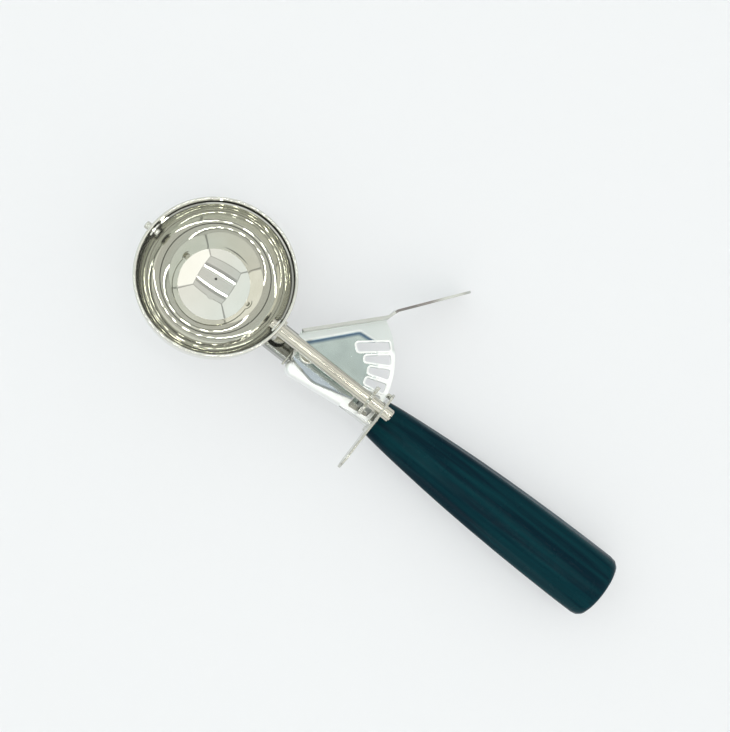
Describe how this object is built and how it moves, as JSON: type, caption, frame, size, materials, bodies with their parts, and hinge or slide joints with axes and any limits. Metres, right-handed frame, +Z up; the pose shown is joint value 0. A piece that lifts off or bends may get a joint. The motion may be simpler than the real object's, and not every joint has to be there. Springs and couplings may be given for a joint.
{
  "type": "ice cream disher",
  "caption": "Ice cream scoop with a round metal bowl, a spring thumb lever that sweeps a scraper blade through it, and a glossy dark handle.",
  "frame": {"origin": "middle of the footprint, on the table that the scoop lies on", "axes": "+X from the bowl to the handle's butt, +Y to the side of the thumb lever, +Z up"},
  "size_m": [0.2126, 0.0838, 0.0405],
  "materials": {
    "bowl": "mirror polish",
    "shank": "polished",
    "bearing_bracket": "satin",
    "guard_plate": "satin",
    "ferrule": "satin",
    "handle": "gloss",
    "pivot_rivet": "satin",
    "pivot_bush": "satin",
    "return_spring": "drawn wire",
    "spring_peg": "satin",
    "thumb_lever": "polished",
    "scraper_blade": "polished",
    "scraper_rod": "polished",
    "star_pinion": "satin",
    "tip_pin": "satin"
  },
  "bodies": {
    "frame": {"bowl": "bowl", "shank": "shank", "bearing_bracket": "bearing_bracket", "guard_plate": "guard_plate", "ferrule": "ferrule", "handle": "handle", "pivot_rivet": "pivot_rivet", "pivot_bush": "pivot_bush", "return_spring": "return_spring", "spring_peg": "spring_peg", "tip_pin": "tip_pin"},
    "lever": {"thumb_lever": "thumb_lever"},
    "scraper": {"scraper_blade": "scraper_blade", "scraper_rod": "scraper_rod", "star_pinion": "star_pinion"}
  },
  "joints": [
    {"name": "lever_pivot", "type": "hinge", "parent": "frame", "child": "lever", "pos_m": [-0.03207, -0.0129, 0.02745], "axis": [-0.0351, -0.2488, -0.9679], "range_deg": [0, 35.2], "stiffness_Nm_per_rad": 0.15, "springref_deg": -40.11, "deforming": ["return_spring"]},
    {"name": "scraper_turn", "type": "hinge", "parent": "frame", "child": "scraper", "pos_m": [-0.07479, -0.0129, 0.029], "axis": [-0.9993, 0, 0.0362], "range_deg": [0, 176.61]}
  ],
  "couplings": [
    {"joint": "scraper_turn", "follows": "lever_pivot", "ratio": 5.0174}
  ]
}
